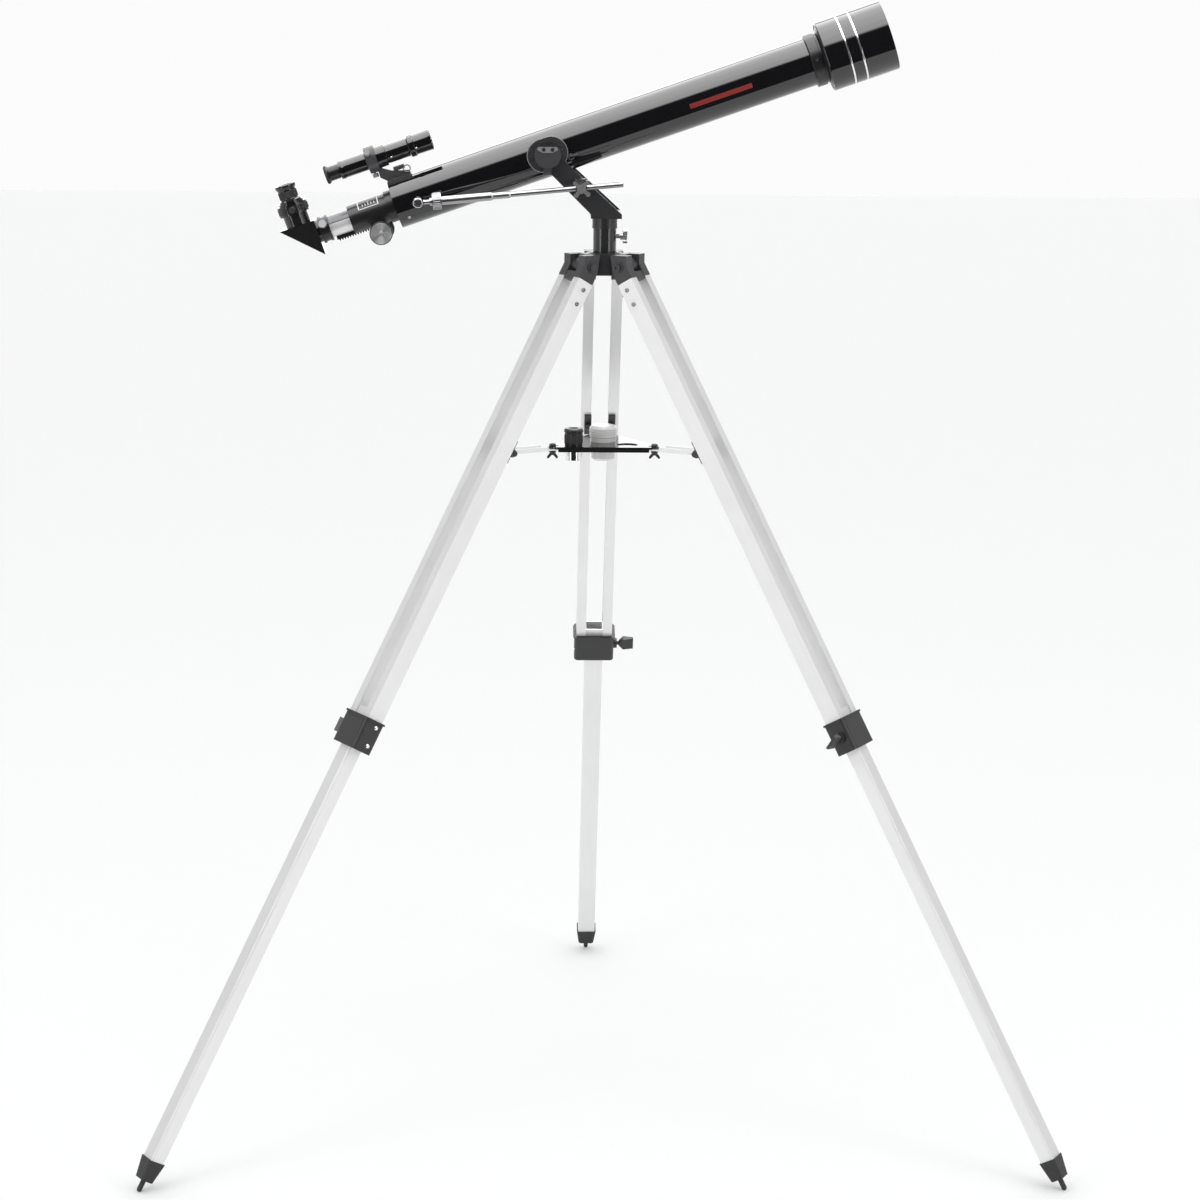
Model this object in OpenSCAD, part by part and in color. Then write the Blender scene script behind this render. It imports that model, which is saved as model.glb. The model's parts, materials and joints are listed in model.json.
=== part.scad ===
// Small refracting telescope on a yoke mount and folding aluminium tripod.
// Millimetres. +Z up, floor at Z = 0, Z axis on the tripod's vertical axis.
// The optical tube points along +X and one leg stands along +Y.

/* [Tripod] */
// Radius of the circle that the feet stand on
foot_circle_r = 605; // [560:5:640]
// Height of the leg hinges above the floor
hinge_z = 1016; // [980:2:1040]
// Distance of the leg hinges from the vertical axis
hinge_r = 30; // [29:0.5:32]
// Distance along the leg from its hinge to the clamp collar's middle
collar_u = 595; // [560:5:620]
// Width of a leg over both rails
leg_w = 45.4; // [44:0.2:47]
// Width of one rail
rail_w = 12.2; // [11:0.2:12.6]
// Depth of a rail
rail_d = 20; // [19:0.5:22]
// Width of the sliding extension
ext_w = 23; // [22.6:0.2:23.4]

/* [Tray] */
// Height of the tray's top face
tray_z = 808.5; // [808:0.1:809]
// Distance from the vertical axis to the tray's corner screws
tray_screw_r = 68.4; // [67:0.2:69]
// Distance down the leg from its hinge to the brace arm's pin
brace_u = 231; // [230.5:0.1:231.5]

/* [Mount] */
// Outer diameter of the fixed pillar
pillar_d = 26.6; // [26:0.1:27]
// Height of the yoke's underside above the floor
yoke_z = 1072; // [1070:1:1074]
// Horizontal place of the altitude pivot
pivot_x = -67; // [-69:1:-65]
// Height of the altitude pivot above the floor
pivot_z = 1144.5; // [1142:0.5:1147]
// Gap between the two yoke arms
yoke_gap = 67.2; // [67:0.1:68]
// Thickness of a yoke arm
arm_t = 4.8; // [4:0.2:5]

/* [Optical tube] */
// Elevation of the tube as it stands, in degrees
tube_elev = 19.3; // [17:0.1:21]
// Outer diameter of the main tube
tube_d = 55.4; // [55:0.1:56]
// Length of the main tube behind the altitude pivot
tube_rear = 185; // [183:1:187]
// Length of the main tube in front of the altitude pivot
tube_front = 318; // [315:1:322]
// Outer diameter of the dew shield
dew_d = 81; // [79:0.5:83]
// Length of the dew shield
dew_len = 78; // [76:1:80]
// Clear aperture of the objective
aperture_d = 60; // [58:1:62]

/* [Focuser] */
// Outer diameter of the drawtube
draw_d = 24.6; // [24.4:0.1:24.8]
// Length of drawtube that shows behind the focuser
draw_out = 27; // [25:1:29]
// Diameter of the focus knobs
knob_d = 26; // [24:1:27]
// Number of teeth on the focus pinion
pinion_teeth = 12; // [12:1:12]

/* [Finder] */
// Height of the finder's axis above the main tube's axis
finder_v = 57.5; // [57:0.5:59]

/* [Hidden] */

round_fn = 64;
fine_fn = 32;
hull_fn = 32;
fit = 0.05;          // radial running clearance
sit = 0.1;           // gap between pieces that only sit together

// Legs: 1 stands along +Y, 2 and 3 follow anticlockwise
leg_angles = [90, 210, 330];
leg_run = foot_circle_r - hinge_r;
leg_tilt = atan(leg_run / hinge_z);
leg_len = sqrt(leg_run * leg_run + hinge_z * hinge_z);

// Head
head_z0 = 1006;
head_z1 = 1030;
plate_t = 1.6;
hub_r = 21;
lug_w = 17;
knuckle_r = 9.5;
bolt_r = 3;

// Rails and extension, measured in the leg's own frame
rail_in = leg_w / 2 - rail_w;
rail_wall = 1.2;
rail_u0 = 18;
rail_u1 = 598;
ext_d = rail_d - 2 * rail_wall - 0.4;
ext_u0 = 566;
ext_u1 = 1130;
ext_wall = 1.4;
cheek_in = lug_w / 2 + 0.5;
collar_len = 39;
collar_w = 50.4;
collar_d = 26.6;
collar_u0 = collar_u - collar_len / 2;
knob_u = collar_u + 1;
foot_u0 = ext_u1 - 2;
foot_len = 24.5;
tip_r = 3;
tip_flat = 0.3;
tip_u = leg_len - (tip_r - tip_flat) / cos(leg_tilt);

// Brace between leg and tray
tray_t = 2.4;
tray_lip = 6;
pin_n = -17.5;
pin_r = 1.5;
brace_pin_r = hinge_r + brace_u * sin(leg_tilt) + pin_n * cos(leg_tilt);
brace_pin_z = hinge_z - brace_u * cos(leg_tilt) + pin_n * sin(leg_tilt);
arm_top = tray_z - tray_t - sit;

// Telescope
pillar_z1 = 1058;
arm_in = yoke_gap / 2;
arm_out = arm_in + arm_t;
base_x0 = -17;
base_x1 = 18.5;
tube_r = tube_d / 2;
tube_wall = 1.5;
cell_len = 14;
cell_r = 30.5;
dew_s0 = tube_front + cell_len + 3;
dew_s1 = dew_s0 + dew_len;
dew_r = dew_d / 2;
dew_wall = 1.8;
lens_r = aperture_d / 2 + 1;

// Focuser
body_r = 16.5;
body_len = 54;
body_s1 = -tube_rear;
body_s0 = body_s1 - body_len;
draw_r = draw_d / 2;
draw_s0 = body_s0 - draw_out;
draw_s1 = -112;
mod = 1;
pitch_r = mod * pinion_teeth / 2;
pinion_s = -209.4;
pinion_v = -23.5;
pitch_v = pinion_v + pitch_r;
rack_add = 0.65;
rack_ded = 1.15;
pinion_add = 0.8;
pinion_ded = 1.05;
backlash = 0.3;
pressure = 20;
rack_pitch = mod * PI;

// Diagonal and eyepiece
collar_s0 = draw_s0 - 8;
diag_s1 = collar_s0 - 4.5;
diag_side = 41.5;
diag_top = 14.5;
diag_half = 16;
eye_s = diag_s1 - 19;
holder_v1 = 42.5;

// Finder
finder_screw_s = -194.8;

// Slow motion rod
stud_s = -157.1;
stud_v = -3.1;
rod_y = -47;
stud_x = pivot_x + stud_s * cos(tube_elev) - stud_v * sin(tube_elev);
stud_z = pivot_z + stud_s * sin(tube_elev) + stud_v * cos(tube_elev);
clamp_x = -28.3;
clamp_z = 1107.5;
rod_elev = atan2(clamp_z - stud_z, clamp_x - stud_x);
clamp_u = norm([clamp_x - stud_x, clamp_z - stud_z]);
rod_len = clamp_u + 48;

// ---------- helpers ----------

// Puts a child drawn in the leg's frame (x down the leg, z outward) in place
module on_leg(i) {
    rotate([0, 0, leg_angles[i]])
        translate([hinge_r, 0, hinge_z])
            rotate([0, 90 - leg_tilt, 0])
                children();
}

// Puts a child drawn along the optical axis (x forward, z up) in place
module on_tube() {
    translate([pivot_x, 0, pivot_z])
        rotate([0, -tube_elev, 0])
            children();
}

// Puts a child drawn along the slow motion rod (x forward) in place
module on_rod() {
    translate([stud_x, rod_y, stud_z])
        rotate([0, -rod_elev, 0])
            children();
}

// Cylinder along +X from x = a to x = b
module xcyl(a, b, r, fn = round_fn) {
    translate([a, 0, 0])
        rotate([0, 90, 0])
            cylinder(h = b - a, r = r, $fn = fn);
}

// Cylinder along Y from y = a to y = b
module ycyl(a, b, r, fn = fine_fn) {
    translate([0, b, 0])
        rotate([90, 0, 0])
            cylinder(h = b - a, r = r, $fn = fn);
}

// Tube along +X
module xtube(a, b, r_out, r_in) {
    difference() {
        xcyl(a, b, r_out);
        xcyl(a - 1, b + 1, r_in);
    }
}

// Solid of revolution about X from a list of [x, r] points
module xturn(points) {
    rotate([0, 90, 0])
        rotate_extrude($fn = round_fn)
            polygon([for (p = points) [p[1], p[0]]]);
}

// Flat rectangle with round corners, centred, built from true arcs
module rrect(w, h, r) {
    union() {
        square([w - 2 * r, h], center = true);
        square([w, h - 2 * r], center = true);
        for (x = [-1, 1], y = [-1, 1])
            translate([x * (w / 2 - r), y * (h / 2 - r)])
                circle(r = r, $fn = fine_fn);
    }
}

// Round-cornered bar along +X from x = a to x = b, w wide in Y and h high in Z
module xbar(a, b, w, h, r) {
    translate([a, 0, 0])
        rotate([0, 90, 0])
            linear_extrude(height = b - a)
                rrect(h, w, r);
}

// ---------- tripod head ----------

module head_casting() {
    color("dimgray")
    difference() {
        union() {
            translate([0, 0, head_z0])
                cylinder(h = head_z1 - head_z0, r = hub_r, $fn = round_fn);
            for (a = leg_angles)
                rotate([0, 0, a]) {
                    translate([0, -lug_w / 2, head_z0])
                        cube([hinge_r, lug_w, head_z1 - head_z0]);
                    translate([hinge_r, 0, hinge_z])
                        ycyl(-lug_w / 2, lug_w / 2, knuckle_r);
                }
        }
        for (a = leg_angles)
            rotate([0, 0, a])
                translate([hinge_r, 0, hinge_z])
                    ycyl(-lug_w, lug_w, bolt_r + fit);
        // seat for the pillar tube
        translate([0, 0, head_z0 + 4])
            cylinder(h = 40, r = pillar_d / 2 + fit, $fn = round_fn);
        // shallow seat for the cover disc
        translate([0, 0, head_z1 - plate_t + sit])
            cylinder(h = 10, r = hub_r + 2 * sit, $fn = round_fn);
        translate([0, 0, head_z0 - 1])
            cylinder(h = 10, r = 5, $fn = fine_fn);
        // lightening pockets in the underside
        for (a = leg_angles)
            rotate([0, 0, a + 60])
                translate([16.5, 0, head_z0 - 1])
                    cylinder(h = 12, r = 2.4, $fn = fine_fn);
    }
}

// Round cover that closes the hub around the pillar
module head_plate() {
    color("dimgray")
    translate([0, 0, head_z1 - plate_t + 2 * sit])
        difference() {
            cylinder(h = plate_t, r = hub_r, $fn = round_fn);
            translate([0, 0, -1])
                cylinder(h = 10, r = pillar_d / 2 + 2 * sit, $fn = round_fn);
        }
}

module pillar_tube() {
    color("black")
    difference() {
        translate([0, 0, head_z0 + 4])
            cylinder(h = pillar_z1 - head_z0 - 4, r = pillar_d / 2, $fn = round_fn);
        translate([0, 0, head_z0])
            cylinder(h = 80, r = 9 + fit, $fn = round_fn);
        // threaded hole of the azimuth lock screw
        translate([0, 0, pillar_z1 - 9])
            rotate([0, 90, 0])
                cylinder(h = 20, r = 2.5 + fit, $fn = fine_fn);
    }
}

// Three hinge bolts with domed heads and nuts
module hinge_bolts() {
    half = leg_w / 2 + 1.6;
    color("black")
    for (a = leg_angles)
        rotate([0, 0, a])
            translate([hinge_r, 0, hinge_z])
                union() {
                    ycyl(-half, half, bolt_r);
                    ycyl(half, half + 2.6, 4.6);
                    difference() {
                        ycyl(-half - 2.6, -half, 4.6);
                        rotate([90, 0, 0])
                            translate([0, 0, half + 1.2])
                                cylinder(h = 4, r = 2.2, $fn = 6);
                    }
                }
}

module azimuth_lock_screw() {
    color("silver")
    translate([0, 0, pillar_z1 - 9]) {
        xcyl(9.4, 18, 2.5, fine_fn);
        xcyl(18, 21, 4, fine_fn);
        translate([21, 0, 0])
            rotate([0, 90, 0])
                linear_extrude(height = 5)
                    star_outline(9.5, 4.2);
    }
}

// Four-lobed outline of the chrome clamp knobs
module star_outline(reach, waist) {
    union() {
        circle(r = waist, $fn = fine_fn);
        for (a = [45:90:315])
            rotate(a) {
                translate([0, -reach * 0.18])
                    square([reach * 0.84, reach * 0.36]);
                translate([reach * 0.84, 0])
                    circle(r = reach * 0.22, $fn = fine_fn);
            }
    }
}

// ---------- tray ----------

// Triangular outline whose corners lie over the legs
module tray_outline(grow = 0) {
    hull()
        for (a = leg_angles)
            rotate(a)
                translate([tray_screw_r - 5.4, 0])
                    circle(r = 10.5 + grow, $fn = hull_fn);
}

case_hole_r = 13.9;
empty_hole_r = 12.3;
spare_hole_r = 9.6;
spare_pos = [-34.7, -26];
case_pos = [0.5, 6];
empty_pos = [28, -21];

module accessory_tray() {
    color("black")
    translate([0, 0, tray_z])
        difference() {
            translate([0, 0, -tray_lip])
                linear_extrude(height = tray_lip)
                    tray_outline();
            translate([0, 0, -tray_lip - 1])
                linear_extrude(height = tray_lip - tray_t + 1)
                    tray_outline(-2);
            for (a = leg_angles)
                rotate([0, 0, a]) {
                    // gap in the lip for the brace arm
                    translate([50, -10, -tray_lip - 1])
                        cube([30, 20, tray_lip - tray_t + 1.05]);
                    // slot for the wing screw's tip
                    translate([tray_screw_r - 7.7, -2.7, -10])
                        cube([10.4, 5.4, 20]);
                }
            translate([spare_pos[0], spare_pos[1], -10])
                cylinder(h = 20, r = spare_hole_r, $fn = round_fn);
            translate([case_pos[0], case_pos[1], -10])
                cylinder(h = 20, r = case_hole_r, $fn = round_fn);
            translate([empty_pos[0], empty_pos[1], -10])
                cylinder(h = 20, r = empty_hole_r, $fn = round_fn);
        }
}

// Spare eyepiece that hangs in the tray by its shoulder
module spare_eyepiece() {
    color("black")
    translate([spare_pos[0], spare_pos[1], tray_z + sit])
        rotate_extrude($fn = round_fn)
            polygon([
                [7.6, -17], [9.3, -17], [9.3, 0], [10.4, 0], [10.4, 14.6], [11.2, 16],
                [11.2, 18.4], [10, 20], [6, 20], [5, 17], [5, 14], [7.6, 12]
            ]);
}

// Screw-top case for an eyepiece, hanging in the tray by its lid
module eyepiece_case() {
    color("whitesmoke")
    translate([case_pos[0], case_pos[1], tray_z + sit])
        rotate_extrude($fn = round_fn)
            polygon([
                [0, -22], [11, -22], [13.6, -19.5], [13.6, 0], [14.8, 0], [14.8, 5], [15.9, 6],
                [15.9, 16], [13.5, 19], [0, 19], [0, 17.4], [12.6, 17.4], [14.2, 15],
                [14.2, 7], [12.2, 5], [12.2, -18.4], [10.4, -20.4], [0, -20.4]
            ]);
}

// ---------- yoke ----------

// Side outline of a yoke arm, from the base up to the pivot eye
module arm_outline() {
    polygon([
        [base_x0, yoke_z], [base_x1, yoke_z], [base_x1, yoke_z + 5],
        [pivot_x + 30, pivot_z - 17], [pivot_x + 12, pivot_z],
        [pivot_x - 11, pivot_z - 8], [pivot_x + 6, pivot_z - 24], [base_x0, yoke_z + 5]
    ]);
    translate([pivot_x, pivot_z])
        circle(r = 15, $fn = round_fn);
}

module yoke() {
    color("black")
    difference() {
        union() {
            // base plate
            translate([base_x0, -arm_out, yoke_z])
                cube([base_x1 - base_x0, 2 * arm_out, 5]);
            for (side = [-1, 1])
                translate([0, side > 0 ? arm_out : -arm_in, 0])
                    rotate([90, 0, 0])
                        linear_extrude(height = arm_t)
                            arm_outline();
            // collar that turns on the pillar
            translate([0, 0, pillar_z1 + 0.3])
                cylinder(h = yoke_z - pillar_z1 - 0.3, r = 14.5, $fn = round_fn);
        }
        translate([0, 0, yoke_z - 30])
            cylinder(h = 34, r = 9 + sit, $fn = round_fn);
        translate([pivot_x, 0, pivot_z])
            ycyl(-60, 60, 5 + fit);
        translate([clamp_x, 0, clamp_z])
            ycyl(-60, 0, 3 + fit);
        // groove between the turning collar's two lips
        translate([0, 0, pillar_z1 + 6])
            rotate_extrude($fn = round_fn)
                translate([14, 0])
                    square([2, 1.2]);
    }
}

module azimuth_spindle() {
    color("silver")
    difference() {
        translate([0, 0, head_z0 + 8])
            cylinder(h = yoke_z + 3.5 - head_z0 - 8, r = 9, $fn = round_fn);
        // neck that the lock screw's tip runs in
        translate([0, 0, pillar_z1 - 12])
            rotate_extrude($fn = round_fn)
                translate([8.2, 0])
                    square([2, 6]);
        translate([0, 0, head_z0])
            cylinder(h = 60, r = 5, $fn = fine_fn);
    }
}

// Bearing caps bolted over the ends of the altitude pivot, one on each arm
module trunnion_caps() {
    color("dimgray")
    for (a = [0, 180])
        translate([pivot_x, 0, pivot_z])
            rotate([0, 0, a])
                translate([0, -arm_out - sit, 0])
                    trunnion_cap();
}

// One cap: a drum with a sloping crown, two screw pockets and a foot rib
module trunnion_cap() {
    difference() {
        union() {
            intersection() {
                ycyl(-13, 0, 15);
                translate([-20, -13, -16])
                    cube([40, 13, 28]);
            }
            translate([-4.5, -9.5, -22])
                cube([9, 9.5, 20]);
        }
        ycyl(-8, 1, 5.4);
        // sloping crown
        translate([-25, -16, 12])
            rotate([-32, 0, 0])
                translate([0, -12, 0])
                    cube([50, 40, 20]);
        // screw pockets
        for (x = [-4.5, 5.5])
            translate([x, -12, 7.5])
                rotate([-32, 0, 0])
                    translate([0, 4, -3.5])
                        cylinder(h = 20, r = 2.6, $fn = fine_fn);
        // hollow in the drum's side
        translate([-16, -9, -9])
            cube([8, 7, 8]);
    }
}

// ---------- optical tube ----------

module main_tube() {
    color("black")
    on_tube()
    difference() {
        xtube(-tube_rear, tube_front, tube_r, tube_r - tube_wall);
        // screw holes of the two pivot saddles
        for (side = [-1, 1], x = [-14, 14])
            translate([x, 0, 0])
                rotate([side * 90, 0, 0])
                    cylinder(h = 40, r = 1.6, $fn = fine_fn);
    }
}

module objective_cell() {
    seat = tube_front - 16;
    in_r = tube_r - tube_wall - sit;
    stop_r = aperture_d / 2 - 1.4;
    color("black")
    on_tube()
        xturn([
            [seat, in_r], [seat, in_r - 1.4], [tube_front + 10, in_r - 1.4],
            [dew_s0 + 2, stop_r], [dew_s0 + 4, stop_r],
            [dew_s0 + 4, lens_r + 0.2], [dew_s0 + 15, lens_r + 0.2],
            [dew_s0 + 15, lens_r + 2], [dew_s0 + 14, dew_r - dew_wall - sit],
            [dew_s0 + 0.6, dew_r - dew_wall - sit], [dew_s0 + 0.6, 34.5],
            [dew_s0 - 0.5, 33], [tube_front + 14.5, 29], [tube_front + 12.5, 29],
            [tube_front + 12, cell_r], [tube_front + 1.2, cell_r],
            [tube_front + sit, tube_r + 0.8], [tube_front + sit, in_r]
        ]);
}

module dew_shield() {
    groove = 0.5;
    color("black")
    on_tube()
        xturn([
            [dew_s0, dew_r - dew_wall], [dew_s0, dew_r - 1], [dew_s0 + 1, dew_r],
            [dew_s0 + 24.5, dew_r], [dew_s0 + 24.5, dew_r - groove],
            [dew_s0 + 26.5, dew_r - groove], [dew_s0 + 26.5, dew_r],
            [dew_s0 + 39, dew_r], [dew_s0 + 39, dew_r - groove],
            [dew_s0 + 41, dew_r - groove], [dew_s0 + 41, dew_r],
            [dew_s1, dew_r], [dew_s1, dew_r - dew_wall]
        ]);
}

// Two-glass objective: front crown and rear flint
module objective_lens() {
    r = lens_r;
    s = dew_s0 + 4 + sit;
    color("lightblue")
    on_tube() {
        xturn([
            [s, 0], [s + 0.4, r * 0.5], [s + 1.2, r], [s + 4, r],
            [s + 3.4, r * 0.7], [s + 2.6, r * 0.35], [s + 2.2, 0]
        ]);
        xturn([
            [s + 2.5, 0], [s + 2.9, r * 0.35], [s + 3.7, r * 0.7], [s + 4.4, r],
            [s + 7.5, r], [s + 9, r * 0.75], [s + 10, r * 0.4], [s + 10.4, 0]
        ]);
    }
}

// Pivot saddles screwed to the tube's sides, each with its trunnion pin
module trunnion_saddles() {
    color("dimgray")
    on_tube()
        for (side = [-1, 1])
            rotate([side < 0 ? 90 : -90, 0, 0])
                difference() {
                    union() {
                        linear_extrude(height = arm_in - 0.5)
                            saddle_outline();
                        cylinder(h = arm_out + 6, r = 5, $fn = fine_fn);
                    }
                    rotate([0, 90, 0])
                        cylinder(h = 200, r = tube_r + sit, center = true, $fn = round_fn);
                    for (x = [-18.5, 18.5])
                        translate([x, 0, arm_in - 2.5])
                            cylinder(h = 10, r = 2.6, $fn = fine_fn);
                }
}

// Oblong outline of a pivot saddle
module saddle_outline() {
    for (x = [-4.5, 4.5])
        translate([x, 0])
            circle(r = 18.4, $fn = round_fn);
    square([9, 36.8], center = true);
}

// ---------- focuser ----------

module focuser_body() {
    color("black")
    on_tube()
    difference() {
        union() {
            xcyl(body_s0, body_s1 + 1, body_r);
            xcyl(body_s1 - 9, body_s1 + 1, 18.6);
            xcyl(body_s1, body_s1 + 14, tube_r - tube_wall - sit);
            // pinion housing under the body
            translate([pinion_s, 0, pinion_v])
                ycyl(-13.5, 13.5, 8.4);
            translate([pinion_s - 9, -13.5, pinion_v])
                cube([18, 27, 16]);
        }
        xcyl(body_s0 - 1, body_s1 + 30, draw_r + fit);
        // hollow the plug so that only its rim meets the tube
        xcyl(body_s1 + 3, body_s1 + 20, tube_r - tube_wall - 3);
        // way for the rack
        translate([body_s0 - 1, -3.2, pitch_v - 1.4])
            cube([body_len + 20, 6.4, 12]);
        // chamber and bearings of the pinion
        translate([pinion_s, 0, pinion_v]) {
            ycyl(-7, 7, pitch_r + 1.6);
            ycyl(-30, 30, 2.5 + fit);
        }
    }
}

module drawtube() {
    color("silver")
    on_tube()
        xtube(draw_s0, draw_s1, draw_r, draw_r - 1.2);
}

// Toothed rack along the drawtube's underside
module drawtube_rack() {
    s0 = draw_s0 + 5;
    s1 = draw_s1 - 20;
    half = rack_pitch / 4 - backlash / 2;
    root_v = pitch_v + rack_ded;
    tip_v = pitch_v - rack_add;
    root_w = half + rack_ded * tan(pressure);
    tip_w = half - rack_add * tan(pressure);
    first = ceil((s0 + 2 - pinion_s) / rack_pitch - 0.5);
    last = floor((s1 - 2 - pinion_s) / rack_pitch - 0.5);
    color("dimgray")
    on_tube()
    difference() {
        union() {
            translate([s0, -2.8, root_v])
                cube([s1 - s0, 5.6, 5.5]);
            for (k = [first:last])
                translate([pinion_s + (k + 0.5) * rack_pitch, 2.8, 0])
                    rotate([90, 0, 0])
                        linear_extrude(height = 5.6)
                            polygon([
                                [-root_w, root_v + 0.2], [-root_w, root_v], [-tip_w, tip_v],
                                [tip_w, tip_v], [root_w, root_v], [root_w, root_v + 0.2]
                            ]);
        }
        xcyl(s0 - 1, s1 + 1, draw_r + 0.02);
    }
}

// Ring on the drawtube's end that holds the diagonal
module drawtube_collar() {
    color("black")
    on_tube()
    difference() {
        union() {
            xcyl(collar_s0, draw_s0 + 2, 14.2);
            xcyl(collar_s0 - 1.5, collar_s0 + 1.5, 15.6);
            xcyl(draw_s0 - 1, draw_s0 + 2, 15.2);
        }
        xcyl(draw_s0 - sit, draw_s0 + 10, draw_r + 0.02);
        xcyl(collar_s0 - 10, draw_s0 + 10, 10.6 + fit);
        rotate([70, 0, 0])
            translate([(collar_s0 + draw_s0) / 2, 0, 0])
                cylinder(h = 30, r = 1.75 + fit, $fn = fine_fn);
    }
}

// Involute helper: point on the flank at roll angle t
function involute(base_r, t) = [
    base_r * (cos(t) + t * PI / 180 * sin(t)),
    base_r * (sin(t) - t * PI / 180 * cos(t))
];
function turned(p, a) = [p[0] * cos(a) - p[1] * sin(a), p[0] * sin(a) + p[1] * cos(a)];

// Outline of one pinion tooth, pointing along +X
module pinion_tooth() {
    base_r = pitch_r * cos(pressure);
    tip_r2 = pitch_r + pinion_add;
    t_tip = sqrt(pow(tip_r2 / base_r, 2) - 1) * 180 / PI;
    t_pitch = tan(pressure) * 180 / PI;
    half = 90 / pinion_teeth - backlash / 4 / pitch_r * 180 / PI;
    flank_turn = half + (t_pitch - pressure);
    root = pitch_r - pinion_ded;
    steps = 5;
    upper = [for (i = [0:steps])
        let (p = turned(involute(base_r, t_tip * i / steps), -flank_turn)) [p[0], -p[1]]];
    lower = [for (i = [steps:-1:0]) [upper[i][0], -upper[i][1]]];
    polygon(concat(
        [[root - 1, upper[0][1]]], upper, lower, [[root - 1, -upper[0][1]]]));
}

module focus_pinion() {
    color("silver")
    on_tube()
        translate([pinion_s, 0, pinion_v]) {
            ycyl(-29, 29, 2.5);
            translate([0, 6, 0])
                rotate([90, 0, 0])
                    linear_extrude(height = 12)
                        union() {
                            circle(r = pitch_r - pinion_ded, $fn = round_fn);
                            for (k = [0:pinion_teeth - 1])
                                rotate(90 + k * 360 / pinion_teeth)
                                    pinion_tooth();
                        }
        }
}

// Pair of focus knobs with a knurled rim and a dished metal face
module focus_knobs() {
    color("silver")
    on_tube()
        translate([pinion_s, 0, pinion_v])
            for (side = [0, 180])
                rotate([0, 0, side])
                    difference() {
                        union() {
                            ycyl(-33, -22, knob_d / 2, round_fn);
                            ycyl(-22, -17, 6);
                        }
                        ycyl(-29.2, -16, 2.5 + 0.02);
                        ycyl(-34, -32.2, knob_d / 2 - 1.6, round_fn);
                    }
}

// ---------- diagonal and eyepiece ----------

module diagonal_housing() {
    s0 = diag_s1 - diag_side;
    low = diag_top - diag_side;
    color("black")
    on_tube()
    difference() {
        union() {
            translate([0, diag_half, 0])
                rotate([90, 0, 0])
                    linear_extrude(height = 2 * diag_half)
                        polygon([[diag_s1, diag_top], [s0, diag_top], [diag_s1, low]]);
            // barrel that slides into the drawtube's end ring
            xcyl(diag_s1 - 1, draw_s0 + 16, 10.6);
            xcyl(diag_s1 - 1, diag_s1 + 2.6, 13);
            // eyepiece holder
            translate([eye_s, 0, diag_top - 1])
                cylinder(h = holder_v1 - diag_top + 1, r = 14.4, $fn = round_fn);
            translate([eye_s, 0, 28])
                cylinder(h = 12, r = 17.6, $fn = round_fn);
        }
        // light path
        xcyl(diag_s1 - 22, draw_s0 + 30, 9.2);
        translate([eye_s, 0, 0])
            cylinder(h = 80, r = 12.3 + fit, $fn = round_fn);
        // prism seat
        translate([0, 13.2, 0])
            rotate([90, 0, 0])
                linear_extrude(height = 26.4)
                    polygon([
                        [diag_s1 - 4, diag_top - 3], [eye_s - 15.2, diag_top - 3],
                        [diag_s1 - 4, diag_top - 3 - (diag_s1 - 4 - eye_s + 15.2)]
                    ]);
        translate([eye_s, 0, 34])
            rotate([90, 0, 0])
                cylinder(h = 30, r = 1.75 + fit, $fn = fine_fn);
    }
}

module diagonal_prism() {
    leg = diag_s1 - 4 - eye_s + 15.2 - 0.6;
    color("lightblue")
    on_tube()
        translate([0, 12.8, 0])
            rotate([90, 0, 0])
                linear_extrude(height = 25.6)
                    polygon([
                        [diag_s1 - 4.2, diag_top - 3.2], [diag_s1 - 4.2 - leg, diag_top - 3.2],
                        [diag_s1 - 4.2, diag_top - 3.2 - leg]
                    ]);
}

module eyepiece() {
    color("black")
    on_tube()
        translate([eye_s, 0, 0])
            rotate_extrude($fn = round_fn)
                polygon([
                    [10.6, diag_top + 1.5], [12.3, diag_top + 1.5], [12.3, holder_v1 + sit],
                    [12.9, holder_v1 + sit], [12.9, 44], [10.4, 46], [10.4, 57], [12.2, 60],
                    [12.2, 62], [11.4, 63], [8.5, 63], [7, 58.5], [5, 57.5], [5, 54],
                    [8.6, 52], [10.6, 46]
                ]);
}

// Thumbscrew drawn along +X: shank first, then a knurled head
module thumbscrew_solid(shank, head_r, head_h) {
    xcyl(0, shank, 1.75, fine_fn);
    xcyl(shank - 0.5, shank + 2, 2.6, fine_fn);
    xcyl(shank + 2, shank + 2 + head_h, head_r, fine_fn);
}

module drawtube_thumbscrew() {
    color("silver")
    on_tube()
        translate([(collar_s0 + draw_s0) / 2, 0, 0])
            rotate([-20, 0, 0])
                rotate([0, 0, -90])
                    translate([11, 0, 0])
                        thumbscrew_solid(6, 4.6, 5);
}

module holder_thumbscrew() {
    color("silver")
    on_tube()
        translate([eye_s, 0, 34])
            rotate([0, 0, -90])
                translate([12.6, 0, 0])
                    thumbscrew_solid(6.6, 3.6, 5);
}

// ---------- finder ----------

module finder_tube() {
    color("black")
    on_tube()
        translate([0, 0, finder_v])
            xturn([
                [-232, 7.6], [-232, 10.4], [-229, 10.9], [-226, 10.2], [-200, 10.2],
                [-199, 12.4], [-175.6, 12.4], [-175, 10.7], [-149, 10.7], [-147.5, 12.8],
                [-142, 12.8], [-141, 11.6], [-124, 11.8], [-121, 12.1], [-121, 10.8],
                [-139, 10.2], [-150, 9.2], [-226, 9.2], [-228, 7.6]
            ]);
}

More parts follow.
